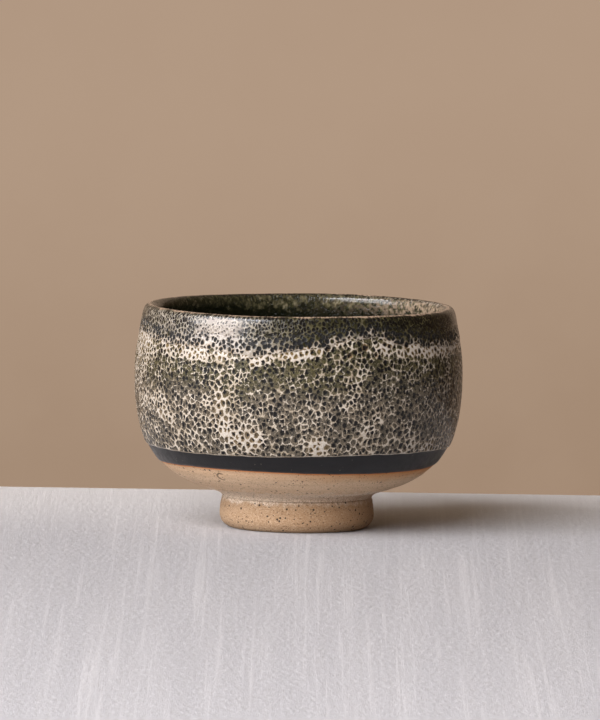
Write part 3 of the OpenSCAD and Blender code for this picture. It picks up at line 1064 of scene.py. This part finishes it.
def backdrop_paint():
    """Soft warm paper behind, painted a little darker toward the table as painted shade. It glows with
    painted light, so no light falls on it.
    """
    p = Paint("backdrop")
    x, _, z = p.split(p.rest)
    # Painted shade: darker toward the table, and a little toward the right.
    fall = p.fade(p.add(z, p.mul(x, -0.12)), -700.0, -280.0)
    colour = p.mix(fall, (0.362, 0.250, 0.172), (0.438, 0.311, 0.222))
    colour = p.mix(p.cloud(80, 3, 0.3, 0.7, 0.0, 0.10), colour, (0.500, 0.370, 0.270))
    glow = p.node("ShaderNodeEmission", {"Color": colour, "Strength": 1.0})
    out = p.nodes.new("ShaderNodeOutputMaterial")
    p.links.new(glow, out.inputs["Surface"])
    return p.material


# ---- stage

def slab(name, low, high, material):
    """A flat four-cornered sheet from one corner to the other, in metres."""
    (x0, y0, z0), (x1, y1, z1) = low, high
    at = [(x0, y0, z0), (x1, y0, z0), (x1, y1, z1), (x0, y1, z1)]
    mesh = bpy.data.meshes.new(name)
    mesh.from_pydata(at, [], [(0, 1, 2, 3)])
    it = add(name, mesh)
    unroll(it, "rest", "POINT", np.array(at) / MM)
    mesh.materials.append(material)
    return it


TABLE_END = 0.138    # how far behind the bowl's axis the cloth ends, in metres


def stage():
    """The cloth that the bowl stands on, and the wall far behind it."""
    slab("table_cloth", (-1.5, -2.5, 0), (1.5, TABLE_END, 0), cloth())
    slab("paper_wall", (-4, 7, -3), (4, 7, 5), backdrop_paint())


def aim(obj, target):
    """Turns a light or the camera to look at a place."""
    way = Vector(target) - obj.location
    obj.rotation_euler = way.to_track_quat("-Z", "Y").to_euler()


def area(name, azimuth, elevation, distance, size, colour, power):
    """A soft box; azimuth in degrees from the front, + to the right."""
    data = bpy.data.lights.new(name, "AREA")
    data.shape = "RECTANGLE"
    data.size, data.size_y = size
    data.color = colour
    data.energy = power
    it = add(name, data)
    a, e = math.radians(azimuth), math.radians(elevation)
    it.location = (distance * math.cos(e) * math.sin(a), -distance * math.cos(e) * math.cos(a),
                   distance * math.sin(e))
    aim(it, (0, 0, HEIGHT / 2 * MM))
    it.visible_camera = False
    return it


LAMP_AWAY = 2.6    # metres
PANE_SIDE = -64    # degrees
PANES = [
    # name, elevation in degrees, width and height in metres, power in watts
    ("pane", 31, (2.2, 1.6), 90), ("pane_head", 54, (2.2, 0.35), 52),
]


def lights():
    """A broad key from the front left, and farther round two panes for the gleam on the glaze.

    The key lights the scene and isn't mirrored. The panes are mirrored, and add no diffuse light.
    """
    key = area("window", -37, 30, LAMP_AWAY, (2.9, 1.9), (0.98, 0.94, 0.96), 160)
    key.visible_glossy = False
    for name, elevation, size, power in PANES:
        glint = area(name, PANE_SIDE, elevation, LAMP_AWAY, size, (0.93, 0.94, 1.00), power)
        glint.visible_diffuse = False


def room():
    """Light from all round: warm on the left, and dark brown on the right."""
    world = bpy.data.worlds.new("room")
    world.use_nodes = True
    nodes, links = world.node_tree.nodes, world.node_tree.links
    side = nodes.new("ShaderNodeSeparateXYZ")
    links.new(nodes.new("ShaderNodeTexCoord").outputs["Generated"], side.inputs[0])
    fall = nodes.new("ShaderNodeMapRange")
    fall.interpolation_type = "SMOOTHSTEP"
    fall.inputs["From Min"].default_value = -0.9
    fall.inputs["From Max"].default_value = 0.8
    links.new(side.outputs["X"], fall.inputs["Value"])
    tone = nodes.new("ShaderNodeMix")
    tone.data_type = "RGBA"
    tone.inputs[6].default_value = (0.370, 0.272, 0.190, 1)
    tone.inputs[7].default_value = (0.100, 0.058, 0.032, 1)
    links.new(fall.outputs[0], tone.inputs[0])
    links.new(tone.outputs[2], nodes["Background"].inputs["Color"])
    bpy.context.scene.world = world


VIEW_BACK = 5.0       # how far the camera stands from the bowl's axis, in metres
VIEW_DOWN = 4.65      # how far above the lip's level it stands, seen from there, in degrees
VIEW_ROLL = 0.85      # degrees
VIEW_ASIDE = 0.0004   # metres to the right of the axis
VIEW_WIDE = 0.2631    # what the picture holds across at the bowl, in metres
AIM_HIGH = 0.752      # the height that it aims at, as a share of the bowl's
SENSOR = 36           # mm


def camera():
    """A long lens from far back, a little above the lip. It aims lower, so the bowl is in the middle."""
    data = bpy.data.cameras.new("camera")
    it = add("camera", data)
    target = Vector((VIEW_ASIDE, 0, AIM_HIGH * HEIGHT * MM))
    rise = VIEW_BACK * math.tan(math.radians(VIEW_DOWN))
    it.location = (VIEW_ASIDE, -VIEW_BACK, HEIGHT * MM + rise)
    aim(it, target)
    roll = Quaternion((0, 0, 1), math.radians(VIEW_ROLL))
    it.rotation_euler = (it.rotation_euler.to_quaternion() @ roll).to_euler()
    data.sensor_width = SENSOR
    data.lens = SENSOR * (it.location - target).length / VIEW_WIDE
    data.clip_end = 100
    bpy.context.scene.camera = it


# ---- putting it together

# The lighter and the darker tone of the bare clay, and of the foot, which is toasted darker
CLAY_LIGHT, CLAY_DARK = (0.700, 0.512, 0.344), (0.580, 0.408, 0.256)
FOOT_LIGHT, FOOT_DARK = (0.385, 0.262, 0.155), (0.300, 0.192, 0.106)

clay_body().data.materials.append(bare_clay("stoneware", CLAY_LIGHT, CLAY_DARK, 0.40, 0.60, True))
clay_foot().data.materials.append(bare_clay("foot_clay", FOOT_LIGHT, FOOT_DARK, 0.90, 0.70, False))
joint_slip().data.materials.append(bare_clay("slip", CLAY_LIGHT, CLAY_DARK, 0.50, 0.70, False))
glaze_base().data.materials.append(black_glaze())
glaze_speckled().data.materials.append(speckled_glaze())
glaze_rim().data.materials.append(rim_glaze())
glaze_liner().data.materials.append(liner_glaze())
stage()
lights()
room()
camera()
bpy.context.scene.view_settings.view_transform = "Standard"
